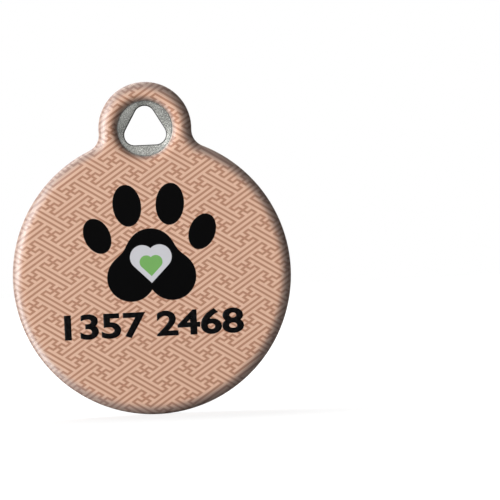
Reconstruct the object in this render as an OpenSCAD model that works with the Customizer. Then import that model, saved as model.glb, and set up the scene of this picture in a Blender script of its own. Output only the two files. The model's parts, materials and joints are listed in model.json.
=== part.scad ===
// Round pet identity tag: a bare steel core plate closed between two moulded
// plastic shells, hung from the three-cornered hole in the core.
// Millimetres. The tag hangs along +Z and its printed front faces -Y. The origin
// is the centre of the hanging hole, on the plane where the two shells part.

/* [Disc] */
// Diameter of the round disc
disc_d = 32; // [25:0.5:40]
// Radius of the rounded outer edge of each shell
edge_r = 1.4; // [0.6:0.05:1.5]

/* [Tab] */
// Diameter of the round tab above the disc
tab_d = 10.7; // [10:0.1:13]
// Height of the tab's centre above the top of the disc
tab_lift = 0.9; // [0:0.1:2.5]
// Radius of the hollow blends between tab and disc
blend_r = 2; // [1:0.1:4]

/* [Shells] */
// Thickness of the printed front shell
front_t = 1.6; // [1.4:0.1:2.6]
// Thickness of the plain back shell
back_t = 1.6; // [1.4:0.1:2.6]
// Width of the bonded rim outside the core's pocket
rim_w = 1.05; // [0.8:0.05:1.4]

/* [Window] */
// Diameter of the round window that bares the core in the tab
window_d = 6.4; // [5.8:0.1:7.2]
// Radius of the rounded lip of the window
lip_r = 0.65; // [0.2:0.05:0.7]
// Width of the flat crest left between lip and outer edge
crest_w = 0.1; // [0.05:0.05:0.3]

/* [Core plate] */
// Thickness of the steel core plate
core_t = 0.8; // [0.5:0.05:1.2]
// Side clearance of the core plate in its pocket
core_gap = 0.05; // [0.02:0.01:0.15]
// Diameter of the largest pin that passes the three-cornered hole
hole_d = 3.8; // [3.2:0.1:4.2]
// Radius of the three corners of the hole
corner_r = 1.2; // [0.8:0.05:1.5]

/* [Posts] */
// Number of posts that key the shells together through the core
post_n = 3; // [2:1:6]
// Diameter of a post
post_d = 2; // [1.4:0.1:3]
// Distance of the posts' centres in from the edge of the pocket
post_in = 6; // [3:0.5:7]
// Depth to which a post enters its socket in the back shell
post_seat = 0.6; // [0.3:0.05:0.8]
// Clearance round a post and past its end
post_gap = 0.05; // [0.02:0.01:0.15]

/* [Hidden] */
$fn = 96;

// Run of every cut past the face that it breaks
cut_over = 0.5;
// Depth by which the flat sides of the hanging hole start inside its round corners
side_sink = 0.0002;
// Coarse step of a place that is given in two moves
coarse_step = 0.01;

disc_r = disc_d / 2;
tab_r = tab_d / 2;
window_r = window_d / 2;
// Fall from the tab's centre, which is the origin, to the disc's centre
disc_fall = disc_r + tab_lift;

// A blend touches disc and tab, so its centre lies one blend radius outside both
disc_reach = disc_r + blend_r;
tab_reach = tab_r + blend_r;
blend_fall = (disc_fall * disc_fall + tab_reach * tab_reach - disc_reach * disc_reach)
    / (2 * disc_fall);
blend_side = sqrt(tab_reach * tab_reach - blend_fall * blend_fall);

// Half of the core's thickness lies in each shell
pocket_t = core_t / 2;
post_ring_r = disc_r - rim_w - post_in;

// A rounding is never deeper than its wall, and lip and edge leave the crest between them
function edge_round(t) = min(edge_r, t);
function lip_round(t) = min(lip_r, t, tab_r - window_r - edge_round(t) - crest_w);

// Stands a shape that is drawn flat, front upward, with its front to -Y
module upright() {
    rotate([90, 0, 0]) children();
}

// Moves a shape from the tab's centre to the disc's
module at_disc() {
    translate([0, -disc_fall, 0]) children();
}

// Places a shape by a coarse and a fine move, which keep every digit of its place,
// because arcs that touch have to meet exactly
module place(v) {
    coarse = [for (c = v) round(c / coarse_step) * coarse_step];
    translate(coarse) translate(v - coarse) children();
}

// Places a shape at the centres of the left and right blends
module at_blends() {
    for (side = [-1, 1]) place([side * blend_side, -blend_fall, 0]) children();
}

// Places a shape at each post, the first one lowest
module at_posts() {
    at_disc() for (i = [0 : post_n - 1])
        rotate([0, 0, i * 360 / post_n - 90]) translate([post_ring_r, 0, 0]) children();
}

// Kite between the centres of disc, tab and blends: its sides cross the outline
// exactly where the blends touch disc and tab
module neck_kite() {
    polygon([[0, -disc_fall], [blend_side, -blend_fall], [0, 0], [-blend_side, -blend_fall]]);
}

// Flat outline of the tag, drawn in from its edge by the given inset
module outline(inset) {
    at_disc() circle(disc_r - inset);
    circle(tab_r - inset);
    difference() {
        neck_kite();
        at_blends() circle(blend_r + inset);
    }
}

// Round solid of radius r and height t with a rounded upper edge
module pillow(r, t, round_r) {
    rotate_extrude() difference() {
        square([r, t]);
        translate([r - round_r, t - round_r]) difference() {
            square(round_r + cut_over);
            circle(round_r);
        }
    }
}

// Cutter for an opening of radius r through height t, flared to a rounded upper lip
module flared_cut(r, t, round_r) {
    rotate_extrude() {
        translate([0, -cut_over]) square([r, t + 2 * cut_over]);
        difference() {
            translate([0, t - round_r]) square([r + round_r, round_r + cut_over]);
            translate([r + round_r, t - round_r]) circle(round_r);
        }
    }
}

// Whole tag outline of height t with one rounding run along disc, blends and tab
module pillow_body(t) {
    at_disc() pillow(disc_r, t, edge_round(t));
    pillow(tab_r, t, edge_round(t));
    difference() {
        linear_extrude(t) neck_kite();
        at_blends() flared_cut(blend_r, t, edge_round(t));
    }
}

// One shell lying on the parting plane, pocket side down
module shell(t) {
    difference() {
        pillow_body(t);
        translate([0, 0, -cut_over]) linear_extrude(pocket_t + cut_over) outline(rim_w);
        flared_cut(window_r, t, lip_round(t));
    }
}

// Three-cornered hole: three round corners and the flat sides that touch them
module hanging_hole() {
    corner_out = hole_d - 2 * corner_r;
    for (a = [90, 210, 330]) rotate(a) translate([corner_out, 0]) circle(corner_r);
    polygon([for (a = [90, 210, 330]) for (side = [a - 60, a + 60])
        corner_out * [cos(a), sin(a)] + (corner_r - side_sink) * [cos(side), sin(side)]]);
}

module steel_core() {
    color([0.66, 0.66, 0.67]) upright() difference() {
        translate([0, 0, -pocket_t]) linear_extrude(core_t) outline(rim_w + core_gap);
        translate([0, 0, -core_t]) linear_extrude(2 * core_t) hanging_hole();
        at_posts() cylinder(h = 2 * core_t, d = post_d + 2 * post_gap, center = true);
    }
}

// The posts rise from the floor of the front pocket and end just short of their sockets
module front_shell() {
    post_h = core_t + post_seat - post_gap;
    color([0.85, 0.69, 0.59]) upright() union() {
        shell(front_t);
        at_posts() translate([0, 0, pocket_t - post_h]) cylinder(h = post_h, d = post_d);
    }
}

module back_shell() {
    color([0.95, 0.95, 0.95]) upright() mirror([0, 0, 1]) difference() {
        shell(back_t);
        at_posts() cylinder(h = pocket_t + post_seat, d = post_d + 2 * post_gap);
    }
}

steel_core();
front_shell();
back_shell();
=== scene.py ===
import json
import math

import bmesh
import bpy
from mathutils import Matrix, Vector


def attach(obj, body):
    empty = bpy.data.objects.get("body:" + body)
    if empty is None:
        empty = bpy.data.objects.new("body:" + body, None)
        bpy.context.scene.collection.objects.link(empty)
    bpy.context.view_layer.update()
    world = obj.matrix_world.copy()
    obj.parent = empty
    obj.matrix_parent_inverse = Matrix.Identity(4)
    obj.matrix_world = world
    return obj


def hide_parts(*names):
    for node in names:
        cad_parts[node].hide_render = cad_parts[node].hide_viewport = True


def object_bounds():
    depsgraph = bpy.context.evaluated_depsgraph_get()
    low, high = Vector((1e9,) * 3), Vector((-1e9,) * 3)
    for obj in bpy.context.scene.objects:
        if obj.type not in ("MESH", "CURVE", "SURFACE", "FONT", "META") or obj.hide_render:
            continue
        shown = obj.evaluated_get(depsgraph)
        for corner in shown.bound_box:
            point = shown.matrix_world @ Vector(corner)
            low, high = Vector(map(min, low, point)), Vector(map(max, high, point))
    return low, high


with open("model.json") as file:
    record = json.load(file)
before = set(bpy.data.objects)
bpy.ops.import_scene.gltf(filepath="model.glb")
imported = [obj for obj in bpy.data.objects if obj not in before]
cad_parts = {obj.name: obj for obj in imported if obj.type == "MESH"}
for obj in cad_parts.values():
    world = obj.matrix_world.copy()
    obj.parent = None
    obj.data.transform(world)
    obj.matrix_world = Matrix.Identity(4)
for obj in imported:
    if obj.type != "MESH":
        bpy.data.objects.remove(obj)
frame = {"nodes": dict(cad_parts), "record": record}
bpy.context.view_layer.update()
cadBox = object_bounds()
scene = bpy.context.scene
mm = 0.001
mounts = {m["name"]: m for m in frame["record"]["mounts"]}
frontFace = Vector(mounts["front_face"]["pos_m"])  # centre of the round printed face
backFace = Vector(mounts["back_face"]["pos_m"])
print("frame loaded with", ", ".join(sorted(frame["nodes"])))


# Shader building

def paint(red, green, blue):  # a colour as it looks on screen, 0 to 255
    return tuple(((c / 255 + 0.055) / 1.055) ** 2.4 for c in (red, green, blue)) + (1,)


class Value:  # wraps a socket, so that plain arithmetic adds Math nodes
    def __init__(self, shader, socket):
        self.shader = shader
        self.socket = socket

    def maths(self, operation, *others):
        return self.shader.maths(operation, self, *others)

    def pick(self, output):  # another output of the same node
        return Value(self.shader, self.socket.node.outputs[output])

    def __add__(self, other):
        return self.maths("ADD", other)

    def __sub__(self, other):
        return self.maths("SUBTRACT", other)

    def __rsub__(self, other):
        return self.shader.maths("SUBTRACT", other, self)

    def __mul__(self, other):
        return self.maths("MULTIPLY", other)

    def __truediv__(self, other):
        return self.maths("DIVIDE", other)

    def __pow__(self, power):
        return self.maths("POWER", power)

    def __abs__(self):
        return self.maths("ABSOLUTE")

    def least(self, other):
        return self.maths("MINIMUM", other)

    def most(self, other):
        return self.maths("MAXIMUM", other)

    def ramp(self, low, high, atLow=0, atHigh=1):  # a soft step from atLow to atHigh
        return self.shader.node("ShaderNodeMapRange", {"interpolation_type": "SMOOTHSTEP"}, {
            "Value": self, "From Min": low, "From Max": high, "To Min": atLow, "To Max": atHigh})


class Shader:
    def __init__(self, owner):
        owner.use_nodes = True
        self.tree = owner.node_tree
        self.tree.nodes.clear()

    def node(self, kind, settings=None, sockets=None, out=0):
        made = self.tree.nodes.new(kind)
        for name, value in (settings or {}).items():
            setattr(made, name, value)
        for name, value in (sockets or {}).items():
            if isinstance(value, Value):
                self.tree.links.new(value.socket, made.inputs[name])
            else:
                made.inputs[name].default_value = value
        return Value(self, made.outputs[out]) if len(made.outputs) else made

    def maths(self, operation, *terms):
        return self.node("ShaderNodeMath", {"operation": operation}, dict(enumerate(terms)))

    def mix(self, share, under, over):  # sockets 6 and 7 and the third output are for colours
        return self.node("ShaderNodeMix", {"data_type": "RGBA"}, {
            "Factor": share, 6: under, 7: over}, out=2)

    def place(self, centre=(0, 0, 0), turn=0, size=mm):  # x, z, y and the point, in units of size
        where = self.node("ShaderNodeTexCoord", out="Object")
        where = self.node("ShaderNodeMapping", {"vector_type": "TEXTURE"}, {
            "Vector": where, "Location": centre, "Rotation": (0, -math.radians(turn), 0),
            "Scale": (size, size, size)})
        split = self.node("ShaderNodeSeparateXYZ", sockets={0: where})
        return split, split.pick("Z"), split.pick("Y"), where

    def noise(self, where, scale, detail=2, **more):
        return self.node("ShaderNodeTexNoise", sockets={
            "Vector": where, "Scale": scale, "Detail": detail, **more})


# Materials and slots of a piece

def wear(piece, *materials):
    if piece.data.materials:  # clearing also forgets which face has which material
        piece.data.materials.clear()
    for material in materials:
        piece.data.materials.append(material)


def addPiece(name, shape, slot, *materials):  # turns a finished bmesh into a piece of the tag
    mesh = bpy.data.meshes.new(name)
    shape.to_mesh(mesh)
    shape.free()
    piece = bpy.data.objects.new(name, mesh)
    scene.collection.objects.link(piece)
    wear(piece, *materials)
    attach(piece, "root")
    return piece


# Camera, at the photograph's distance and lean

view = {
    "imageSide": 500,
    "pixel": 0.11502 * mm,  # width of one pixel at the tag's outline
    "outlineDepth": 1.4 * mm,  # of the outline behind the printed face
    "discPixel": (151.91, 275.11),  # where the disc's centre lies in the picture
    "lean": 2.76,  # degrees by which the tag leans to the left
    "distance": 0.6,
    "sensor": 36.0,
    "clip": (0.01, 20),
}


def addCamera(s):
    lean = math.radians(s["lean"])
    right = Vector((math.cos(lean), 0, -math.sin(lean)))
    up = Vector((math.sin(lean), 0, math.cos(lean)))
    across = (s["imageSide"] / 2 - s["discPixel"][0]) * s["pixel"]
    above = (s["discPixel"][1] - s["imageSide"] / 2) * s["pixel"]
    camera = bpy.data.objects.new("camera", bpy.data.cameras.new("camera"))
    camera.data.sensor_width = s["sensor"]
    camera.data.lens = s["sensor"] * s["distance"] / (s["imageSide"] * s["pixel"])
    camera.data.clip_start, camera.data.clip_end = s["clip"]
    back = Vector((0, s["outlineDepth"] - s["distance"], 0))
    place = frontFace + right * across + up * above + back
    camera.matrix_world = Matrix.Translation(place) @ Matrix((  # its right, up and back
        (right.x, up.x, 0, 0),
        (0, 0, -1, 0),
        (right.z, up.z, 0, 0),
        (0, 0, 0, 1)))
    scene.collection.objects.link(camera)
    scene.camera = camera
    print("camera set, lens", round(camera.data.lens), "mm")


addCamera(view)


# Surface of the moulded plastic

seam = {  # the hairline where the shells meet
    "half": 0.03,  # mm
    "soft": 0.03,
    "colour": paint(70, 66, 62),
    "shade": 0.45,
}


def seamShade(shader, y, colour, s=seam):
    line = abs(y).ramp(s["half"] + s["soft"], s["half"], 0, s["shade"])
    return shader.mix(line, colour, s["colour"])


gloss = {  # the moulded plastic's surface
    "ior": 1.46,
    "rough": 0.36,
    "specular": 0.04,
    "coat": 0.03,
    "coatRough": 0.14,
    "peel": 1.4,  # mm, length and height of its faint waves
    "peelHeight": 0.0004,
    "lipReach": (3.0, 4.3),  # mm from the window's centre, over which its lip looks softer
    "lipSwell": 0.3,  # mm
}


def glossSurface(shader, colour, coat=gloss["coat"], s=gloss):
    x, z, _, where = shader.place()
    peel = shader.noise(where, 1 / s["peel"], 1) * s["peelHeight"]
    lip = shader.maths("SQRT", x * x + z * z).ramp(*s["lipReach"], 0, s["lipSwell"])
    normal = shader.node("ShaderNodeBump", sockets={
        "Strength": 1, "Distance": mm, "Height": peel + lip})
    surface = shader.node("ShaderNodeBsdfPrincipled", sockets={
        "Base Color": colour, "Roughness": s["rough"], "IOR": s["ior"],
        "Specular IOR Level": s["specular"], "Coat Weight": coat,
        "Coat Roughness": s["coatRough"], "Normal": normal})
    shader.node("ShaderNodeOutputMaterial", sockets={"Surface": surface})


# Printed front shell: brown key-fret lines and a paw, dyed into white moulded plastic

frontPrint = {
    "ground": paint(228, 189, 165),
    "line": paint(183, 135, 111),
    "black": paint(1, 1, 2),
    "pale": paint(206, 206, 211),
    "green": paint(122, 176, 100),
    "bare": paint(238, 236, 232),  # the shell's own plastic past the end of the print
    "roundShadeTone": paint(117, 122, 127),  # painted shade: a dull grey the print is darkened toward over the roundings, all round
    "roundShade": 0.48,
    "rounding": 1.4,  # mm
    "shoulder": 0.55,  # where the roundings' shoulder is full; the face is 0 and their foot 1
    "flank": 0.8,  # where that shoulder has ended
    "roundCoat": 0.6,  # clear coat on the shoulder, where it gathers
    "blotchScale": 0.35,  # of the dye's faint unevenness, per mm
    "blotchRange": (0.3, 0.7),
    "blotch": 0.06,
    "fretAnchor": (-6.26 * mm, 0, -27.80 * mm),
    "fretTurn": 0.34,  # degrees
    "fretPitch": (4.909, 3.227),  # mm, across and up
    "fretSteps": 5,
    "fretHalfLine": 0.22,  # in steps
    "fretSoft": 0.05,
    "inkSoft": 0.02,  # mm
    "printEnds": 0.16,  # mm before the parting line
    "endSoft": 0.04,
}

# The fret repeats one arm by quarter turns; an arm is runs of square bends, in steps
fretRuns = [
    [(0, 0), (1, 0), (1, 1), (2, 1), (2, -6)],
    [(0, -1), (1, -1), (1, -2)],
    [(-1, 2), (6, 2)],
    [(5, 0), (4, 0), (4, 1), (3, 1), (3, -6)],
    [(5, -1), (4, -1), (4, -2)],
]


def barDistance(u, v, start, end):  # how far a point lies outside a straight bar
    sides = []
    for axis, a, b in zip((u, v), start, end):
        side = abs(axis - (a + b) / 2) if a + b else abs(axis)
        sides.append(side - abs(a - b) / 2 if a != b else side)
    return sides[0].most(sides[1])


def fretMask(shader, s):
    x, z, _, _ = shader.place(s["fretAnchor"], s["fretTurn"])
    a = shader.maths("WRAP", x / s["fretPitch"][0], 0.5, -0.5)
    b = shader.maths("WRAP", z / -s["fretPitch"][1], 0.5, -0.5)
    u, v = (a - b) * s["fretSteps"], (a + b) * s["fretSteps"]
    turned = shader.maths("GREATER_THAN", abs(v), abs(u))
    u, v = u + (v - u) * turned, v - (v + u) * turned
    side = shader.maths("SIGN", u)
    u, v = u * side, v * side
    nearest = None
    for run in fretRuns:
        for start, end in zip(run, run[1:]):
            bar = barDistance(u, v, start, end)
            nearest = bar if nearest is None else nearest.least(bar)
    return nearest.ramp(s["fretHalfLine"] + s["fretSoft"], s["fretHalfLine"] - s["fretSoft"])


def ovalDistance(shader, x, z, centre, half, tilt=0):
    c, n = math.cos(math.radians(tilt)), math.sin(math.radians(tilt))
    dx, dz = x - centre[0], z - centre[1]
    across, along = (dx * c + dz * n) / half[0], (dz * c - dx * n) / half[1]
    return (shader.maths("SQRT", across * across + along * along) - 1) * min(half)


# Toes have a centre, half sizes and a tilt, pads a centre and a radius, hearts a foot and a height
paw = {  # from the motif's centre, in its own units; the left half mirrors the right
    "raise": 3.2 * mm,  # of that centre over the disc's
    "unit": 1.15 * mm,
    "toes": [((2.15, 4.25), (1.42, 2.1), -6), ((5.25, 1.35), (1.3, 1.85), -24)],
    "padTop": ((0, -0.6), 2.5),
    "padSide": ((2.05, -2.95), 2.4),
    "padBlend": 1.8,
    "heart": ((0, -3.55), 3.45),
    "innerHeart": ((0, -2.88), 1.9),
}


# In a heart one unit high a lobe lies round (0.25, 0.75) and meets its mirror image at (0, 1)
def heartDistance(shader, x, z, foot, height):
    px, pz = abs(x - foot[0]) / height, (z - foot[1]) / height
    lobe = shader.maths("SQRT", (px - 0.25) ** 2 + (pz - 0.75) ** 2) - math.sqrt(0.125)
    fold = (px + pz).most(0) * 0.5
    crease = px * px + (pz - 1) ** 2
    tip = shader.maths("SQRT", crease.least((px - fold) ** 2 + (pz - fold) ** 2))
    tip = tip * shader.maths("SIGN", px - pz)
    upper = shader.maths("GREATER_THAN", px + pz, 1)
    return (tip + (lobe - tip) * upper) * height


def pawMasks(shader, edge, s):
    centre = (frontFace.x, 0, frontFace.z + s["raise"])
    x, z, _, _ = shader.place(centre, size=s["unit"])
    half = abs(x)
    (top, topR), (side, sideR) = s["padTop"], s["padSide"]
    pad = ovalDistance(shader, half, z, top, (topR, topR)).maths(
        "SMOOTH_MIN", ovalDistance(shader, half, z, side, (sideR, sideR)), s["padBlend"])
    for toe, size, tilt in s["toes"]:
        pad = pad.least(ovalDistance(shader, half, z, toe, size, tilt))
    hearts = [heartDistance(shader, x, z, *s[name]) for name in ("heart", "innerHeart")]
    return [shape.ramp(edge, -edge) for shape in (pad, *hearts)]


def printedPlastic(s):
    material = bpy.data.materials.new("printedPlastic")
    shader = Shader(material)
    _, _, y, where = shader.place()
    blotch = shader.noise(where, s["blotchScale"], 3).ramp(*s["blotchRange"], 0, s["blotch"])
    ground = shader.mix(blotch, s["ground"], s["line"])
    colour = shader.mix(fretMask(shader, s), ground, s["line"])
    for mask, ink in zip(pawMasks(shader, s["inkSoft"], paw), ("black", "pale", "green")):
        colour = shader.mix(mask, colour, s[ink])
    fallen = shader.maths("SQRT", ((y - frontFace.y / mm) / s["rounding"]).most(0))
    rounded = fallen.ramp(0, s["shoulder"])
    # Painted shade: over the roundings the print is mixed toward a dull grey, which darkens their
    # rim all round
    colour = shader.mix(rounded * s["roundShade"], colour, s["roundShadeTone"])
    ends = (0 - y).ramp(s["printEnds"] - s["endSoft"], s["printEnds"] + s["endSoft"])
    colour = shader.mix(ends, s["bare"], colour)
    gathered = rounded * fallen.ramp(s["flank"], s["shoulder"])
    coat = gathered * (s["roundCoat"] - gloss["coat"]) + gloss["coat"]
    glossSurface(shader, seamShade(shader, y, colour), coat)
    return material


# White back shell

backWhite = {
    "white": paint(243, 243, 243),
    "dull": paint(239, 239, 239),
    "toneScale": 0.3,  # per mm
    "toneRange": (0.35, 0.7),
}


def whitePlastic(s):
    material = bpy.data.materials.new("whitePlastic")
    shader = Shader(material)
    _, _, y, where = shader.place()
    tone = shader.noise(where, s["toneScale"], 2).ramp(*s["toneRange"])
    glossSurface(shader, seamShade(shader, y, shader.mix(tone, s["white"], s["dull"])))
    return material


# Tumbled steel of the core plate

steel = {
    "pale": paint(229, 230, 224),
    "dull": paint(208, 209, 203),
    "pit": paint(112, 113, 110),
    "grain": 0.13,  # mm, the pits of the tumbling
    "grainRough": 0.6,
    "mottle": 0.9,  # mm
    "streakTurn": 38,
    "streakStretch": (0.5, 1, 5),
    "streakScale": 1.1,
    "streakShare": 0.25,
    "toneRange": (0.38, 0.62),
    "pitRange": (0.58, 0.38),
    "pitShare": 0.6,
    "roughRange": (0.3, 0.7),
    "rough": (0.2, 0.28),
    "bump": 0.4,
    "bumpDepth": 0.012 * mm,
    "bumpStreak": 0.3,
    "cut": paint(32, 31, 30),  # painted shade: near black, for the punched wall and broken edges of the hanging hole and the corner line under the lip
    "cutRange": (0.35, 0.65),
    "cutPits": 0.2,
    "cutRough": 0.7,
    "windowR": 3.2,  # mm, where the steel meets the shells' lip
    "lipShadeWidth": 0.2,  # mm, painted shade: a faint dark line in the corner under the lip
    "lipShade": 0.45,
}


def tumbledSteel(s):
    material = bpy.data.materials.new("tumbledSteel")
    shader = Shader(material)
    x, z, _, where = shader.place()
    grain = shader.noise(where, 1 / s["grain"], 2, Roughness=s["grainRough"])
    mottle = shader.noise(where, 1 / s["mottle"], 3)
    _, _, _, slanted = shader.place(turn=s["streakTurn"])
    stretched = shader.node("ShaderNodeVectorMath", {"operation": "MULTIPLY"}, {
        0: slanted, 1: s["streakStretch"]})
    streak = shader.noise(stretched, s["streakScale"], 2)
    tone = mottle * (1 - s["streakShare"]) + streak * s["streakShare"]
    colour = shader.mix(tone.ramp(*s["toneRange"]), s["dull"], s["pale"])
    colour = shader.mix(grain.ramp(*s["pitRange"], 0, s["pitShare"]), colour, s["pit"])
    # Painted shade: darker in the corner where the steel meets the shells' lip
    reach = shader.maths("SQRT", x * x + z * z)
    corner = reach.ramp(s["windowR"] - s["lipShadeWidth"], s["windowR"], 0, s["lipShade"])
    colour = shader.mix(corner, colour, s["cut"])
    rough = grain.ramp(*s["roughRange"], *s["rough"])
    normal = shader.node("ShaderNodeBump", sockets={
        "Strength": s["bump"], "Distance": s["bumpDepth"],
        "Height": grain + streak * s["bumpStreak"]})
    surface = shader.node("ShaderNodeBsdfPrincipled", sockets={
        "Base Color": colour, "Metallic": 1.0, "Roughness": rough, "Normal": normal})
    shader.node("ShaderNodeOutputMaterial", sockets={"Surface": surface})
    return material


# Painted shade: a near-black steel for the hole's wall and broken edge, where they lie in shade
def cutSteel(s):
    material = bpy.data.materials.new("cutSteel")
    shader = Shader(material)
    _, _, _, where = shader.place()
    tone = shader.noise(where, 1 / s["grain"], 2).ramp(*s["cutRange"])
    colour = shader.mix(tone * s["cutPits"], s["cut"], s["pit"])
    surface = shader.node("ShaderNodeBsdfPrincipled", sockets={
        "Base Color": colour, "Metallic": 1.0, "Roughness": s["cutRough"]})
    shader.node("ShaderNodeOutputMaterial", sockets={"Surface": surface})
    return material


wear(frame["nodes"]["front_shell"], printedPlastic(frontPrint))
wear(frame["nodes"]["back_shell"], whitePlastic(backWhite))
print("shells dressed")


# Core plate with the edges of its hanging hole broken by tumbling

plate = {
    "edgeBreak": 0.1 * mm,
    "edgeSteps": 3,
    "nearHole": 3.2 * mm,  # only edges this near the hole show
    "weld": 0.0005 * mm,
    "flat": 1.0,  # degrees, below which faces are one
    "sharp": 30.0,
    "steep": 0.5,  # a wall's normal points less to front or back than this
    "level": 0.999,  # and a flat face's points more
}


def addCorePlate(s):
    shape = bmesh.new()
    shape.from_mesh(frame["nodes"]["steel_core"].data)
    bmesh.ops.remove_doubles(shape, verts=shape.verts, dist=s["weld"])
    bmesh.ops.dissolve_limit(
        shape, angle_limit=math.radians(s["flat"]), verts=shape.verts, edges=shape.edges)
    rim = [e for e in shape.edges if e.calc_face_angle(0) > math.radians(s["sharp"])
           and all(Vector((v.co.x, 0, v.co.z)).length < s["nearHole"] for v in e.verts)]
    # The hole's wall and the bevel's faces take the second material, near-black painted shade
    wall = {face for e in rim for face in e.link_faces if abs(face.normal.y) < s["steep"]}
    for face in wall:
        face.material_index = 1
    bmesh.ops.bevel(
        shape, geom=rim, affect="EDGES", offset=s["edgeBreak"], segments=s["edgeSteps"],
        profile=0.5, material=1)
    shape.normal_update()
    for face in shape.faces:
        face.smooth = abs(face.normal.y) < s["level"]
    piece = addPiece("corePlate", shape, "bare_steel", tumbledSteel(steel), cutSteel(steel))
    stale = piece.data.attributes["custom_normal"]  # kept from before the bevel
    piece.data.attributes.remove(stale)
    piece.data.set_sharp_from_angle(angle=math.radians(s["sharp"]))
    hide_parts("steel_core")


addCorePlate(plate)
print("core plate made")


# Plain figures printed on both faces

figures = {
    "film": 0.03 * mm,  # thickness of the ink, of which a part is sunk in the plastic
    "proud": 0.015 * mm,
    "bold": 0.03,  # band round each stroke, of the font's size
    "halfBlock": 0.5,  # half the thickness before the row is scaled to its own
    "weld": 0.0001,
    "black": paint(3, 3, 4),
    "blue": paint(98, 152, 214),
    # Painted sheen: a faint grey mixed into the ink in patches at random, by the share under wear
    "paintedSheen": paint(150, 150, 155),
    "wear": 0.02,
    "sheenScale": 2.5,  # per mm
    "sheenRange": (0.35, 0.75),
    # each row: text, a figure's height, the row's width, its middle over the disc's centre, mm
    "front": [("1357 2468", 3.0, 20.6, -5.6)],
    "back": [
        ("246801", 4.0, 21.5, 8.0),
        ("13579 02468", 2.8, 26.5, 1.8),
        ("8642 0975", 2.5, 20.5, -3.2),
        ("97531 08642", 2.5, 22.5, -7.4),
    ],
    "backSmall": [("02468 13579", 1.5, 14.7, -12.2)],
}


def inkPlastic(name, colour, s):
    material = bpy.data.materials.new(name)
    shader = Shader(material)
    _, _, _, where = shader.place()
    # Painted sheen: faint grey patches at random over the ink
    paintedSheen = shader.noise(where, s["sheenScale"], 2).ramp(*s["sheenRange"], 0, s["wear"])
    glossSurface(shader, shader.mix(paintedSheen, colour, s["paintedSheen"]))
    return material


def figureRow(text, tall, wide, s):  # a flat bmesh of one row, centred in its own x and y
    letters = bpy.data.curves.new("figures", "FONT")
    letters.body = text
    letters.extrude = s["halfBlock"]
    letters.bevel_depth = s["bold"]
    letters.bevel_resolution = 0
    holder = bpy.data.objects.new("figures", letters)
    scene.collection.objects.link(holder)
    bpy.context.view_layer.update()
    made = holder.evaluated_get(bpy.context.evaluated_depsgraph_get())
    mesh = bpy.data.meshes.new_from_object(made)
    shape = bmesh.new()
    shape.from_mesh(mesh)
    bpy.data.objects.remove(holder)
    bpy.data.curves.remove(letters)
    bpy.data.meshes.remove(mesh)
    for vert in shape.verts:  # the band is laid flat, level with the strokes
        vert.co.z = math.copysign(s["halfBlock"], vert.co.z)
    bmesh.ops.remove_doubles(shape, verts=shape.verts, dist=s["weld"])
    bmesh.ops.recalc_face_normals(shape, faces=shape.faces)
    low = [min(v.co[i] for v in shape.verts) for i in range(3)]
    high = [max(v.co[i] for v in shape.verts) for i in range(3)]
    bmesh.ops.translate(shape, verts=shape.verts, vec=[-(a + b) / 2 for a, b in zip(low, high)])
    size = (wide * mm, tall * mm, s["film"])
    bmesh.ops.scale(
        shape, verts=shape.verts, vec=[c / (b - a) for a, b, c in zip(low, high, size)])
    return shape


def addFigures(name, rows, face, out, material, s):
    whole = bmesh.new()
    depth = face.y + out * (s["proud"] - s["film"] / 2)
    for text, tall, wide, rise in rows:
        shape = figureRow(text, tall, wide, s)
        stand = Matrix((
            (-out, 0, 0, face.x),
            (0, 0, out, depth),
            (0, 1, 0, face.z + rise * mm),
            (0, 0, 0, 1)))
        bmesh.ops.transform(shape, matrix=stand, verts=shape.verts)
        row = bpy.data.meshes.new("row")
        shape.to_mesh(row)
        shape.free()
        whole.from_mesh(row)
        bpy.data.meshes.remove(row)
    addPiece(name, whole, "printed_plastic", material)


blackInk = inkPlastic("blackInk", figures["black"], figures)
blueInk = inkPlastic("blueInk", figures["blue"], figures)
addFigures("frontFigures", figures["front"], frontFace, -1, blackInk, figures)
addFigures("backFigures", figures["back"], backFace, 1, blackInk, figures)
addFigures("backSmallFigures", figures["backSmall"], backFace, 1, blueInk, figures)
print("figures printed")


# Stage and light

stage = {
    "floorSide": 4.0,
    "floorTone": 0.28,
    "floorLift": 0.79,  # near the tag, so that its shadow shows
    "liftRing": (0.03, 0.09),  # metres from the tag over which the lift rises to white
    "ambient": 0.03,
    "backSoft": 1.3,  # soft light on the white back
    "backTurn": (0.2, 0.9),  # its edge, by a direction's part to the back
    "card": 0.6,  # what the tag mirrors all round
    "darkCard": 0.03,  # but to its right, which keeps its right rim dark
    "darkTurn": (0.6, 0),
    "leftGlow": 10.0,  # far to the left, a soft gleam on the left rim, straight and off the floor
    "glowTurn": ((-0.55, -0.85), (0.5, -0.1)),  # its edges to the right and to the back
    "floorGlowTurn": ((-0.86, -0.98), (0.5, -0.1)),
    "glowRing": (0.01, 0.024),  # metres from the tag over which the floor's gleam rises
}


def leftGlow(x, y, level, turn):  # by a direction's parts to the right and to the back
    return x.ramp(*turn[0], 0, level) * y.ramp(*turn[1])


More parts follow.
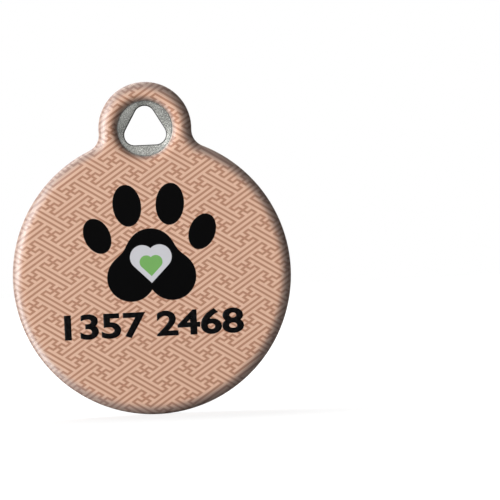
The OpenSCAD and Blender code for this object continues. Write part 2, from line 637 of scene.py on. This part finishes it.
def addFloor(s):
    sheet = bmesh.new()
    bmesh.ops.create_grid(sheet, x_segments=1, y_segments=1, size=s["floorSide"] / 2)
    bmesh.ops.translate(sheet, verts=sheet.verts, vec=(0, 0, cadBox[0].z))
    mesh = bpy.data.meshes.new("floor")
    sheet.to_mesh(mesh)
    sheet.free()
    floor = bpy.data.objects.new("floor", mesh)
    scene.collection.objects.link(floor)
    material = bpy.data.materials.new("floorSheet")
    shader = Shader(material)
    x, _, y, _ = shader.place(size=1)
    away = shader.maths("SQRT", x * x + y * y)
    seen = shader.node("ShaderNodeLightPath", out="Is Camera Ray")
    glow = leftGlow(x / away, y / away, s["leftGlow"], s["floorGlowTurn"])
    glow = glow * away.ramp(*s["glowRing"]) * seen.pick("Is Glossy Ray")
    tone = s["floorTone"]
    matt = shader.node("ShaderNodeBsdfDiffuse", sockets={"Color": (tone, tone, tone, 1)})
    lift = shader.node("ShaderNodeEmission", sockets={
        "Strength": seen * away.ramp(*s["liftRing"], s["floorLift"], 1) + glow})
    both = shader.node("ShaderNodeAddShader", sockets={0: matt, 1: lift})
    shader.node("ShaderNodeOutputMaterial", sockets={"Surface": both})
    wear(floor, material)


def addWorld(s):
    world = bpy.data.worlds.new("studio")
    scene.world = world
    shader = Shader(world)
    seen = shader.node("ShaderNodeLightPath", out="Is Camera Ray")
    shiny = seen.pick("Is Glossy Ray")
    through = seen.pick("Is Transmission Ray")
    x = shader.node("ShaderNodeSeparateXYZ", sockets={
        0: shader.node("ShaderNodeTexCoord", out="Generated")})
    y = x.pick("Y")
    cards = x.ramp(*s["darkTurn"], s["darkCard"], s["card"])
    cards = cards.most(leftGlow(x, y, s["leftGlow"], s["glowTurn"]))
    soft = y.ramp(*s["backTurn"], s["ambient"], s["backSoft"])
    strength = (seen + through).least(1).most(shiny * cards).most((1 - seen.most(shiny)) * soft)
    light = shader.node("ShaderNodeBackground", sockets={
        "Color": (1, 1, 1, 1), "Strength": strength})
    shader.node("ShaderNodeOutputWorld", sockets={"Surface": light})


lamps = {  # direction from the tag, distance, width and height, and light that reaches the tag
    "frontKey": {
        "towards": (-0.735, -0.64, 0.22), "distance": 1.2, "size": (1.2, 0.7), "level": 5.25},
    "backKey": {
        "towards": (-0.3, 0.66, 0.69), "distance": 1.2, "size": (1.0, 0.6), "level": 2.2},
}


def addLamp(name, s):
    lamp = bpy.data.lights.new(name, "AREA")
    lamp.shape = "RECTANGLE"
    lamp.size, lamp.size_y = s["size"]
    lamp.energy = s["level"] * math.pi * s["distance"] ** 2
    towards = Vector(s["towards"]).normalized()
    holder = bpy.data.objects.new(name, lamp)
    holder.matrix_world = (Matrix.Translation(frontFace + towards * s["distance"])
                           @ towards.to_track_quat("Z", "Y").to_matrix().to_4x4())
    scene.collection.objects.link(holder)


addFloor(stage)
addWorld(stage)
for name, settings in lamps.items():
    addLamp(name, settings)
scene.view_settings.view_transform = "Standard"
print("stage and lamps set")
